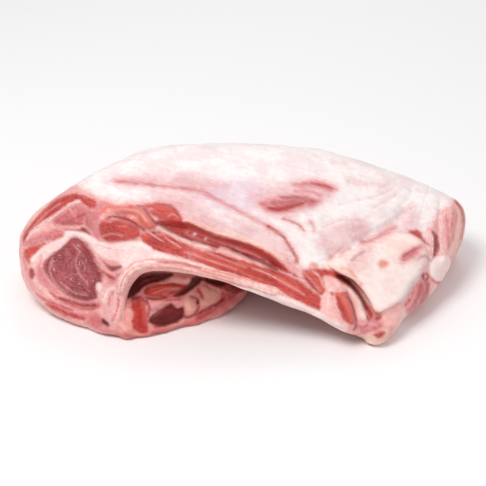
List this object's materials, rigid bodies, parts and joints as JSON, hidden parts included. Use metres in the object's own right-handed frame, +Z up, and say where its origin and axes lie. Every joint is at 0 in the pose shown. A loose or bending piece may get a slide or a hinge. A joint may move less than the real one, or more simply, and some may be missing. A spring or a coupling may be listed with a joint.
{
  "type": "raw goat shoulder",
  "caption": "Raw goat shoulder on the bone: a thick fat-covered slab arching over a chest hollow, with the cut face, rib edge and muscles in view.",
  "frame": {"origin": "middle of the bounding box, on the board that the joint rests on", "axes": "+X to the right along the joint's length as the picture shows it, +Y away from the cut side to the back, +Z up"},
  "size_m": [0.3075, 0.1975, 0.0924],
  "materials": {
    "meat": "moist red meat under an off-white, pinkish fat cap",
    "bone": "sawn bone, cream with a pink tinge"
  },
  "bodies": {
    "root": {"meat": "meat", "rib_bone": "bone", "backbone": "bone", "breast_bone": "bone"}
  },
  "joints": []
}
